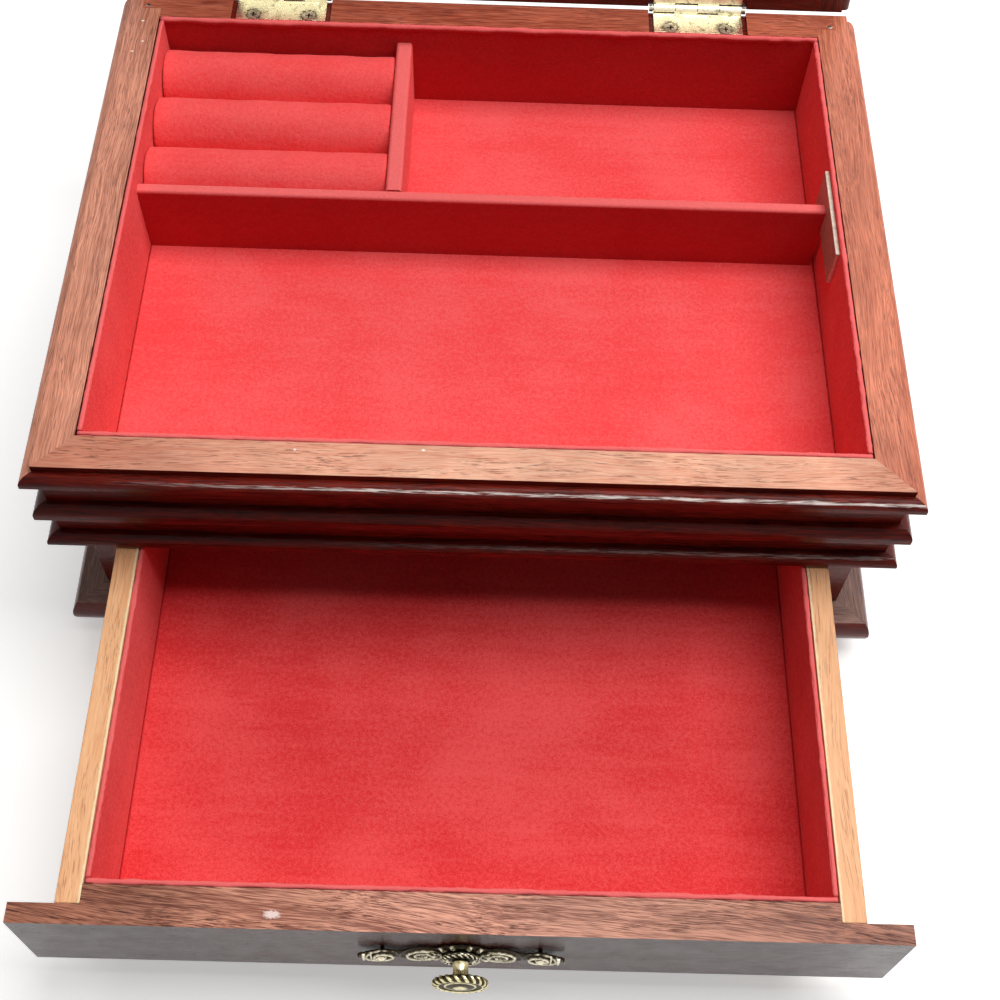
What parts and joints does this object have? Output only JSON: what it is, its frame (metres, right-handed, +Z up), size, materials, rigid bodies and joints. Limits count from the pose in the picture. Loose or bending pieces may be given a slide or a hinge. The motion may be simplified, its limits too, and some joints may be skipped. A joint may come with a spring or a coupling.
{
  "type": "jewellery box with drawer",
  "caption": "Moulded wooden jewellery box with a hinged lid open over a red-lined tray with ring rolls, and a pulled-out lined drawer below on bun feet.",
  "frame": {"origin": "bottom centre of the whole box as stored, with the lid open and the drawer pulled out, on the surface it stands on", "axes": "+Z up, +Y towards the hinged back, +X to the right of someone facing the drawer"},
  "size_m": [0.2844, 0.4084, 0.3153],
  "materials": {
    "mahogany": "dark red-brown gloss lacquer, worn to pink-brown on the flat tops",
    "drawer_wood": "plain orange-tan wood, dull",
    "thin_board": "plain thin board",
    "red_flock": "short red flock pile",
    "cream_plastic": "aged cream, brownish face",
    "antique_brass": "darkened, rubbed on the raised parts",
    "bright_brass": "polished",
    "steel": "plated screws"
  },
  "bodies": {
    "case": {"back_panel": "drawer_wood", "bay_floor": "thin_board", "case_back": "mahogany", "case_front": "mahogany", "case_left": "mahogany", "case_nails": "steel", "case_right": "mahogany", "divider_long": "red_flock", "divider_short": "red_flock", "foot_back_left": "mahogany", "foot_back_right": "mahogany", "foot_front_left": "mahogany", "foot_front_right": "mahogany", "hinge_leaf_case_left": "bright_brass", "hinge_leaf_case_right": "bright_brass", "hinge_pin_left": "bright_brass", "hinge_pin_right": "bright_brass", "hinge_screws_case": "steel", "plinth_back": "mahogany", "plinth_front": "mahogany", "plinth_left": "mahogany", "plinth_right": "mahogany", "ring_roll_1": "red_flock", "ring_roll_2": "red_flock", "ring_roll_3": "red_flock", "side_panel_left": "mahogany", "side_panel_right": "mahogany", "tray_bottom": "thin_board", "tray_liner_back": "red_flock", "tray_liner_front": "red_flock", "tray_liner_left": "red_flock", "tray_liner_right": "red_flock", "tray_lining": "red_flock", "wall_plate": "cream_plastic"},
    "drawer": {"drawer_back": "drawer_wood", "drawer_bottom": "thin_board", "drawer_front": "mahogany", "drawer_liner_back": "red_flock", "drawer_liner_front": "red_flock", "drawer_liner_left": "red_flock", "drawer_liner_right": "red_flock", "drawer_lining": "red_flock", "drawer_side_left": "drawer_wood", "drawer_side_right": "drawer_wood", "pull_backplate": "antique_brass", "pull_knob": "antique_brass", "pull_screw": "steel", "pull_tacks": "antique_brass"},
    "lid": {"hinge_leaf_lid_left": "bright_brass", "hinge_leaf_lid_right": "bright_brass", "hinge_screws_lid": "steel", "lid_back": "mahogany", "lid_front": "mahogany", "lid_left": "mahogany", "lid_lining": "red_flock", "lid_panel": "mahogany", "lid_right": "mahogany"}
  },
  "joints": [
    {"name": "drawer_slide", "type": "slide", "parent": "case", "child": "drawer", "axis": [0, 1, 0], "range_m": [-0.04, 0.126]},
    {"name": "lid_hinge", "type": "hinge", "parent": "case", "child": "lid", "pos_m": [0, 0.14802, 0.1036], "axis": [1, 0, 0], "range_deg": [0, 100]}
  ]
}
